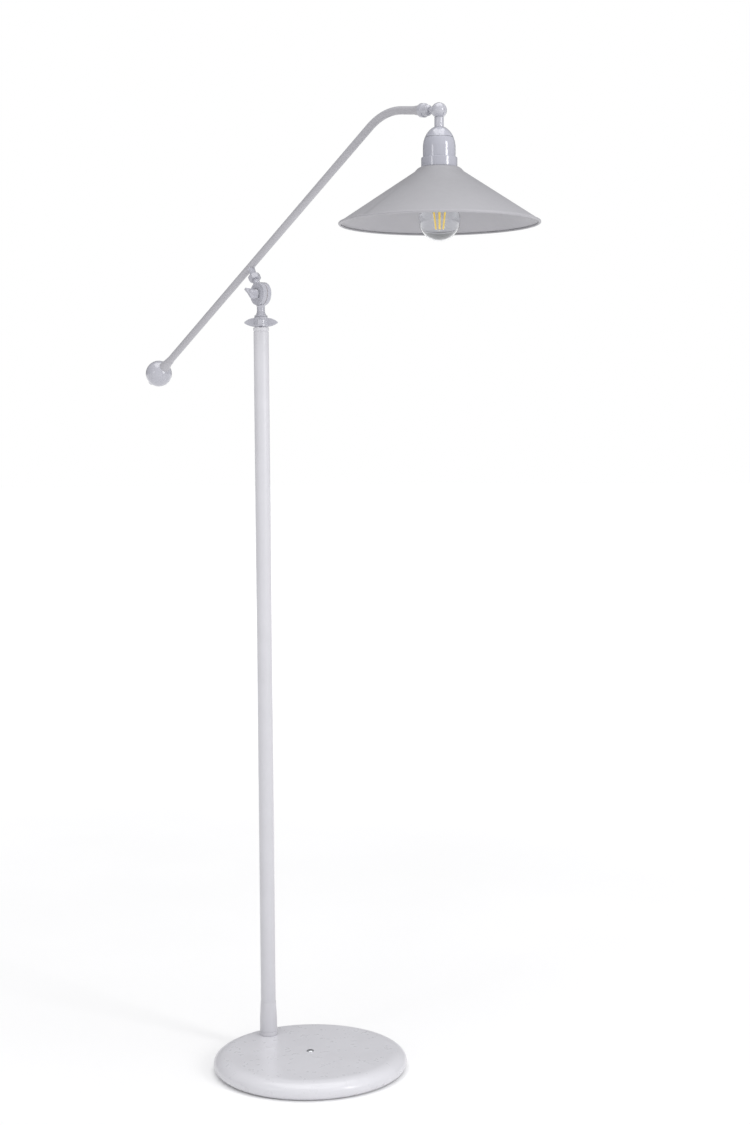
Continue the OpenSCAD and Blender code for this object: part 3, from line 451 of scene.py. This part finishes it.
def base_cover():
    """Pressed steel dish with a flat top, a full round edge and a turned-in rim."""
    low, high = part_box("base_cover")
    edge_w, edge_z, edge_low = 24 * MM, 13 * MM, 16 * MM
    centre = high.x - edge_w
    last = math.degrees(math.asin((edge_z - low.z) / edge_low))
    lift = high.z - edge_z
    outer = arc(centre, edge_z, edge_w, lift, 90, 0, 36)
    outer += arc(centre, edge_z, edge_w, edge_low, -2, -last, 16)
    inner = arc(centre, edge_z, edge_w - COVER_T, edge_low - COVER_T, -last, -2, 16)
    inner += arc(centre, edge_z, edge_w - COVER_T, lift - COVER_T, 0, 90, 24)
    outline = [Vector((0, high.z))] + outer + inner + [Vector((0, high.z - COVER_T))]
    made = lathe("base_cover_shell", outline, Matrix.Identity(4), 192)
    dress(made, "base_cover", material=BASE_PAINT)


def foot_collar():
    """A lipped sleeve with a turned line, tapering to the post."""
    low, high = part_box("foot_collar")
    r = (high.x - low.x) / 2
    lip, line = 6.5 * MM, 0.5 * MM
    flare = low.z + (high.z - low.z) * 0.52
    outline = rounded([
        (POST_R, low.z), (r, low.z, 0.8 * MM), (r, low.z + lip, 0.5 * MM),
        (r - line * 1.4, low.z + lip + line), (r, low.z + lip + 2 * line, 0.5 * MM),
        (r - 0.2 * MM, flare, 14 * MM), (POST_R + 0.45 * MM, high.z, 0.3 * MM), (POST_R + 0.02 * MM, high.z)
    ], 8)
    dress(lathe("foot_collar_turned", outline, ON_POST), "foot_collar", material=POST_PAINT_SHADED)


def post_tube():
    """A drawn tube with broken ends."""
    low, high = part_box("post_tube")
    r = (high.x - low.x) / 2
    bore = r - TUBE_WALL
    outline = rounded([(bore, low.z), (r, low.z, 0.3 * MM), (r, high.z, 0.4 * MM), (bore, high.z)])
    dress(lathe("post_tube_drawn", outline, ON_POST), "post_tube", material=POST_PAINT_SHADED)


def cap_ring():
    """The ring that closes the top of the post, with a step below it."""
    low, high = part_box("cap_ring")
    r = (high.x - low.x) / 2
    neck = r - 0.9 * MM
    outline = rounded([
        (SPIGOT_HOLE_R, low.z), (neck, low.z), (neck, low.z + 1.0 * MM, 0.3 * MM),
        (r, low.z + 1.9 * MM, 0.6 * MM), (r, high.z, 1.3 * MM), (SPIGOT_HOLE_R, high.z)
    ])
    dress(lathe("cap_ring_turned", outline, ON_POST), "cap_ring", material=POST_PAINT_SHADED)


def tilt_bolt():
    """Carriage bolt: a low dome on the disc's face and a plain shank."""
    low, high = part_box("tilt_bolt")
    face = high.y - 4.2 * MM
    shank, head, rim = 3 * MM, 8 * MM, 0.6 * MM
    outline = [Vector((0, low.y)), Vector((2.6 * MM, low.y)), Vector((shank, low.y + 0.5 * MM))]
    outline += [Vector((shank, face))]
    outline += rounded([(shank, face), (head, face, 0.4 * MM), (head, face + rim)])[1:]
    outline += arc(0, face + rim, head, 3.6 * MM, 4, 90, 16)
    place = Matrix.Translation((HINGE.x, 0, HINGE.z)) @ Z_TO_Y
    dress(lathe("tilt_bolt_domed", outline, place, 64, closed=False), "tilt_bolt")


# ---- arm ----

def arm_tube():
    """The bent tube: a long straight, a smooth bend and a short drooping end."""
    run = BEND_R * math.tan(BEND / 2)
    points = [ALONG_ARM @ Vector((x * MM, 0, ARM_RISE)) for x in (-322, -200, -60, 60, 180, 280)]
    steps = 24
    for i in range(steps + 1):
        a = BEND * i / steps
        x = ARM_FRONT - run + BEND_R * math.sin(a)
        points.append(ALONG_ARM @ Vector((x, 0, ARM_RISE - BEND_R + BEND_R * math.cos(a))))
    points += [ALONG_END @ Vector((-s * MM, 0, 0)) for s in (70, 55, 38.4)]
    dress(sweep("arm_tube_bent", points, ARM_R), "arm_tube", material=ARM_PAINT_SHADED)


def counterweight():
    """A ball on the arm's rear end, with a tapered sleeve before it and a button behind it."""
    rear = ALONG_ARM @ Matrix.Translation((-318 * MM, 0, ARM_RISE))
    outward = rear @ Matrix.Rotation(-HALF_PI, 4, "Y")
    inward = rear @ Z_TO_X
    r = 22.5 * MM
    ball = [Vector((0, -r))] + arc(0, 0, r, r, -88, 73.5, 60) + [Vector((ARM_R, 16 * MM))]
    dress(lathe("counterweight_ball_turned", ball, inward, 128, closed=False), "counterweight_ball")
    start, length = 20 * MM, 22 * MM
    sleeve = rounded([
        (ARM_R, start - 1 * MM), (9.4 * MM, start, 0.5 * MM), (8.8 * MM, start + 4 * MM, 4 * MM),
        (7.2 * MM, start + length * 0.6, 8 * MM), (6.6 * MM, start + length, 0.4 * MM),
        (ARM_R, start + length)
    ], 8)
    made = lathe("counterweight_sleeve_turned", sleeve, inward)
    dress(made, "counterweight_sleeve", material=ARM_PAINT_SHADED)
    button = rounded([
        (0, r - 3 * MM), (6.4 * MM, r - 2 * MM), (6.4 * MM, r + 1.6 * MM, 0.8 * MM),
        (5.8 * MM, r + 2.4 * MM, 0.8 * MM), (5.2 * MM, r + 6.6 * MM, 2.4 * MM), (0, r + 7.3 * MM)
    ], 8)
    dress(lathe("counterweight_button_turned", button, outward, 64, closed=False), "counterweight_button")


def arm_end():
    """The flared ferrule on the tube's end and the collar that holds the swivel."""
    place = ALONG_END @ Z_TO_X
    far, near = -51.4 * MM, -38.45 * MM
    ferrule = rounded([
        (ARM_R, far), (ARM_R + 0.5 * MM, far, 0.3 * MM), (ARM_R + 0.9 * MM, far + 5 * MM, 6 * MM),
        (ARM_R + 2.6 * MM, near, 0.4 * MM), (ARM_R, near)
    ], 8)
    dress(lathe("arm_end_ferrule_turned", ferrule, place), "arm_end_ferrule", material=ARM_PAINT_SHADED)
    r, shank, start, end = 10.2 * MM, 3.5 * MM, -38.3 * MM, -19.4 * MM
    collar = rounded([
        (shank, start), (r, start, 1.1 * MM), (r, start + 7.6 * MM, 1.4 * MM),
        (r - 1.9 * MM, start + 9 * MM, 0.6 * MM), (r - 2.4 * MM, end - 3 * MM, 2.2 * MM),
        (r - 4.8 * MM, end, 0.5 * MM), (shank, end)
    ], 8)
    dress(lathe("swivel_collar_turned", collar, place), "swivel_collar")


# ---- lampholder and shade ----

def lampholder():
    """A glazed bell in two shells, a cap over a body, which share one dome, and a ring below."""
    body_low, body_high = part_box("holder_body")
    r = (body_high.x - body_low.x) / 2
    cap_top = top("holder_cap")
    seam = body_high.z
    dome_z = body_low.z + 14 * MM
    rise = cap_top + 1.6 * MM - dome_z
    rows = 24
    stem_hole_r = 5.1 * MM
    lip = 0.3 * MM

    def dome(z, inset=0.0):
        t = min(max((z - dome_z) / (rise - inset), 0), 1)
        return (r - inset) * math.sqrt(1 - t * t)

    def skin(start, end):
        heights = [start + (end - start) * i / rows for i in range(rows + 1)]
        return [Vector((dome(z), z)) for z in heights]

    gap, chamfer = 0.4 * MM, 0.25 * MM
    cap = skin(seam + gap, cap_top)
    outline = [Vector((dome(seam) - HOLDER_WALL, seam + gap)), Vector((cap[0].x - chamfer, cap[0].y))]
    outline += [cap[0] + Vector((0, chamfer))] + cap[1:]
    outline += [Vector((stem_hole_r, cap_top)), Vector((stem_hole_r, cap_top - HOLDER_WALL))]
    outline += [Vector((dome(p.y, HOLDER_WALL), p.y - HOLDER_WALL * 0.6)) for p in reversed(cap[2:-3])]
    made = lathe("holder_cap_dome", outline, ON_HEAD, 128)
    dress(made, "holder_cap", material=HOLDER_ENAMEL_SHADED)

    shell = skin(dome_z, seam - 0.2 * MM)
    foot = body_low.z
    outline = [Vector((r - HOLDER_WALL, foot)), Vector((r - lip, foot)), Vector((r, foot + lip))] + shell
    outline += [Vector((shell[-1].x - lip, seam)), Vector((shell[-1].x - HOLDER_WALL, seam))]
    outline += [Vector((dome(p.y, HOLDER_WALL), p.y)) for p in reversed(shell[:-3])]
    made = lathe("holder_body_glazed", outline, ON_HEAD, 128)
    dress(made, "holder_body", material=HOLDER_ENAMEL_SHADED)

    ring_low, ring_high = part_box("holder_ring")
    ring_r = (ring_high.x - ring_low.x) / 2
    ring = rounded([
        (HOLDER_MOUTH_R, ring_low.z), (ring_r, ring_low.z, 0.7 * MM), (ring_r, ring_high.z, 3.4 * MM),
        (r + 0.1 * MM, ring_high.z, 0.2 * MM), (HOLDER_MOUTH_R, ring_high.z)
    ], 10)
    made = lathe("holder_ring_glazed", ring, ON_HEAD, 128)
    dress(made, "holder_ring", material=HOLDER_ENAMEL_SHADED)


def shade():
    """Spun cone: a flat neck, a soft shoulder, a straight flank and a rolled rim."""
    low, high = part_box("shade")
    r = (high.x - low.x) / 2
    hole = HOLDER_MOUTH_R
    shoulder_r, shoulder_z = SHOULDER_R, high.z - 5.5 * MM
    rim_z = low.z
    outer = rounded([
        (hole, high.z), (shoulder_r - 3.6 * MM, high.z, 11 * MM),
        (shoulder_r + 3 * MM, shoulder_z - 1.6 * MM, 8 * MM), (r - BEAD_R * 1.2, rim_z + BEAD_R * 1.9)
    ], 12)
    bead = arc(r - BEAD_R, rim_z + BEAD_R, BEAD_R, BEAD_R, 110, -200, 22)
    slope = math.atan2(shoulder_z - rim_z, r - shoulder_r)
    drop = SHADE_T / math.cos(slope)
    inner = [Vector((p.x - SHADE_T * 0.3, p.y - drop)) for p in outer[:0:-1]]
    outline = outer + bead + inner + [Vector((hole, high.z - SHADE_T))]
    made = dress(lathe("shade_spun", outline, ON_HEAD, 256), "shade")
    # The lighter copy of the shade's paint: painted light on the inside, and a painted highlight on the rolled
    # rim.
    made.data.materials.append(SHADE_INSIDE_LIT)
    for polygon in made.data.polygons:
        reach = (polygon.center - Vector((HEAD.x, 0, polygon.center.z))).length
        bead_painted_highlight = reach > r - 1.8 * BEAD_R
        inside_painted_light = polygon.normal.z < -0.1 and reach < r - 2 * BEAD_R
        if bead_painted_highlight or inside_painted_light:
            polygon.material_index = 1


# ---- bulb ----

def bulb():
    """A pear of clear glass: a ball and a flank that curves into the neck, outside and inside."""
    low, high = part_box("bulb_globe")
    r = (high.x - low.x) / 2
    centre = low.z + r
    neck_r = 12.7 * MM
    flank = math.radians(40)
    flank_r = (r * math.cos(flank) - neck_r) / (1 - math.cos(flank))
    far_r, far_z = (r + flank_r) * math.cos(flank), centre + (r + flank_r) * math.sin(flank)
    flank_steps = 20

    def skin(inset):
        out = arc(0, centre, r - inset, r - inset, -90, 40, 48)
        out[0] = Vector((0, centre - r + inset))
        hollow = flank_r + inset
        for i in range(1, flank_steps + 1):
            a = flank * (1 - i / flank_steps)
            out.append(Vector((far_r - hollow * math.cos(a), far_z - hollow * math.sin(a))))
        return out

    outline = skin(0.0) + list(reversed(skin(GLASS_T)))
    dress(lathe("bulb_globe_blown", outline, ON_HEAD, 128, closed=False), "bulb_globe")
    filaments(centre + r * 0.55, centre + r * 0.72)


def filaments(top_z, stem_z):
    """Four coated rods that lean inwards to their feet, and the wires that join them."""
    rod, length, top_r = 1.25 * MM, 30 * MM, 8.6 * MM
    lean = math.radians(-6.5)
    foot_wire_r, head_wire_r = 0.55 * MM, 0.28 * MM
    made, heads, feet = [], [], []
    for i in range(4):
        turn = Matrix.Rotation(math.radians(90 * i + 45), 4, "Z")
        head = ON_HEAD @ turn @ Matrix.Translation((top_r, 0, top_z))
        place = head @ Matrix.Rotation(math.pi - lean, 4, "Y")
        ends = [(0, 0), (rod, 0, rod * 0.8), (rod, length, rod * 0.8), (0, length)]
        outline = [Vector((0, 0))] + rounded(ends)[1:]
        made.append(lathe(f"filament_{i + 1}", outline, place, 20, closed=False))
        heads.append(ON_HEAD @ turn @ Vector((top_r, 0, top_z)))
        foot = Vector((top_r + length * math.sin(lean), 0, top_z - length * math.cos(lean)))
        feet.append(ON_HEAD @ turn @ foot)
    for stick in made[1:] + made[:1]:
        dress(stick, "bulb_filaments")

    def middle(z):
        return ON_HEAD @ Vector((0, 0, z))

    upper, lower = feet[0].z - 1.2 * MM, feet[0].z - 1.8 * MM
    wires = [[feet[0], middle(upper), feet[1]], [feet[2], middle(lower), feet[3]]]
    for head in heads:
        wires.append([head, (head + middle(head.z + 5 * MM)) / 2, middle(head.z + 6 * MM)])
    wires.append([middle(lower), middle(stem_z)])
    for i, points in enumerate(wires):
        wire = sweep(f"filament_wire_{i + 1}", points, foot_wire_r if i < 2 else head_wire_r, 10)
        wire.data.materials.append(MATERIALS["zinc_steel"])
        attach(wire, "head")


# ---- the CAD nodes that stay as they are ----

def carry_over():
    """Each CAD node that nothing stands for gets its finish and broken edges."""
    for node, made in frame["nodes"].items():
        if made.hide_render:
            continue
        made.data.materials.clear()
        made.data.materials.append(MATERIALS[SLOT[node]])
        for polygon in made.data.polygons:
            polygon.use_smooth = True
        size = min(made.dimensions)
        edge_bevel(made, min(0.25 * MM, size * 0.04))
        tidy = made.modifiers.new("normals", "WEIGHTED_NORMAL")
        tidy.keep_sharp = True


# ---- stage ----

def stage():
    """A pale floor that glows more the further it is from the lamp."""
    bm = bmesh.new()
    bmesh.ops.create_circle(bm, cap_ends=True, segments=96, radius=FLOOR_R)
    floor = new_object("floor", bm)
    g = Graph("pale_floor")
    g.set(Specular_IOR_Level=0.1, Emission_Color=(1, 1, 1, 1))
    away = g.node("ShaderNodeVectorMath", operation="LENGTH")
    g.link(g.place, away.inputs[0])
    glow = g.node("ShaderNodeMapRange", interpolation_type="SMOOTHSTEP")
    steps = {"From Min": GLOW_FROM, "From Max": GLOW_TO, "To Min": GLOW_UNDER_LAMP, "To Max": FLOOR_GLOW}
    for key, value in steps.items():
        glow.inputs[key].default_value = value
    g.link(away.outputs["Value"], glow.inputs["Value"])
    g.link(glow.outputs["Result"], g.shader.inputs["Emission Strength"])
    tone = g.mix(g.spread(g.noise(0.8, 2), 0.0, 1.0), (0.90, 0.90, 0.90), (0.92, 0.92, 0.92))
    g.finish(tone, g.spread(g.noise(0.3, 2), 0.6, 0.7), g.bump(g.noise(0.004, 3), 0.0001, 0.3))
    g.material.cycles.emission_sampling = "NONE"
    floor.data.materials.append(g.material)


def area_light(name, place, aim, size, power):
    """A rectangular light at a place, turned to its aim."""
    data = bpy.data.lights.new(name, "AREA")
    data.shape = "RECTANGLE"
    data.size, data.size_y = size
    data.energy = power
    made = bpy.data.objects.new(name, data)
    made.location = place
    made.rotation_euler = (Vector(aim) - Vector(place)).to_track_quat("-Z", "Y").to_euler()
    bpy.context.scene.collection.objects.link(made)


def light():
    """A soft tent of light, brighter on the side of the key, with two windows and a ceiling panel."""
    world = bpy.data.worlds.new("studio")
    bpy.context.scene.world = world
    world.use_nodes = True
    world.cycles.sampling_method = "NONE"
    nodes, links = world.node_tree.nodes, world.node_tree.links
    seen = nodes["Background"]
    seen.inputs["Color"].default_value = (1, 1, 1, 1)
    seen.inputs["Strength"].default_value = BACKDROP
    tent = nodes.new("ShaderNodeBackground")
    tent.inputs["Color"].default_value = (0.985, 0.985, 1.0, 1)
    facing = nodes.new("ShaderNodeVectorMath")
    facing.operation = "DOT_PRODUCT"
    facing.inputs[1].default_value = TENT_AXIS
    ramp = nodes.new("ShaderNodeMapRange")
    ramp.interpolation_type = "SMOOTHSTEP"
    ramp.inputs["From Min"].default_value = -1
    ramp.inputs["To Min"].default_value = TENT_LOW
    ramp.inputs["To Max"].default_value = TENT_HIGH
    links.new(nodes.new("ShaderNodeTexCoord").outputs["Generated"], facing.inputs[0])
    links.new(facing.outputs["Value"], ramp.inputs["Value"])
    links.new(ramp.outputs["Result"], tent.inputs["Strength"])
    path = nodes.new("ShaderNodeLightPath")
    choose = nodes.new("ShaderNodeMixShader")
    links.new(path.outputs["Is Camera Ray"], choose.inputs["Fac"])
    links.new(tent.outputs["Background"], choose.inputs[1])
    links.new(seen.outputs["Background"], choose.inputs[2])
    links.new(choose.outputs["Shader"], nodes["World Output"].inputs["Surface"])
    # Name, place, aim, width and height, and power in watts.
    area_light("ceiling", (0.6, -0.3, 9.0), (0.1, 0, 0), (8.0, 8.0), 470)
    area_light("key_window", (3.45, 0.67, 1.95), (0.2, 0, 1.1), (0.75, 1.5), 33)
    area_light("fill_window", (0.3, -3.6, 1.75), (0.1, 0, 1.0), (0.6, 1.0), 7)


# ---- camera, as fitted to the outlines in the photograph ----
CAMERA_AZIMUTH = math.radians(50)
CAMERA_PITCH = math.radians(3.75)
CAMERA_ROLL = math.radians(-0.39)
CAMERA_DISTANCE = 2.911
CAMERA_AIM = Vector((0, 0, 0.8))
CAMERA_ASIDE = 0.1093
CAMERA_RAISED = 0.0153
CAMERA_LENS = 58.9


def camera():
    """The camera at the photograph's viewing angle."""
    a, p, r = CAMERA_AZIMUTH, CAMERA_PITCH, CAMERA_ROLL
    ahead = Vector((-math.sin(a) * math.cos(p), math.cos(a) * math.cos(p), -math.sin(p)))
    right = Vector((math.cos(a), math.sin(a), 0))
    up = right.cross(ahead)
    place = CAMERA_AIM - CAMERA_DISTANCE * ahead + CAMERA_ASIDE * right + CAMERA_RAISED * up
    side = math.cos(r) * right + math.sin(r) * up
    head = -math.sin(r) * right + math.cos(r) * up
    data = bpy.data.cameras.new("camera")
    data.lens = CAMERA_LENS
    data.sensor_width = 36
    data.clip_end = 200
    made = bpy.data.objects.new("camera", data)
    bpy.context.scene.collection.objects.link(made)
    turned = Matrix((side, head, -ahead)).transposed().to_4x4()
    made.matrix_world = Matrix.Translation(place) @ turned
    bpy.context.scene.camera = made
    bpy.context.scene.view_settings.view_transform = "Standard"


camera()
base_cover()
foot_collar()
post_tube()
cap_ring()
cast("hand_nut", 0.35 * MM, 3)
cast("knuckle_lower", 0.4 * MM, 5)
cast("knuckle_upper", 0.4 * MM, 5)
cast("tilt_wing_nut", 0.3 * MM, 3)
cast("arm_saddle", 0.35 * MM, 4)
tilt_bolt()
arm_tube()
counterweight()
arm_end()
cast("swivel_arm_half", 0.3 * MM, 5)
cast("swivel_head_half", 0.3 * MM, 5)
lampholder()
shade()
bulb()
carry_over()
stage()
light()
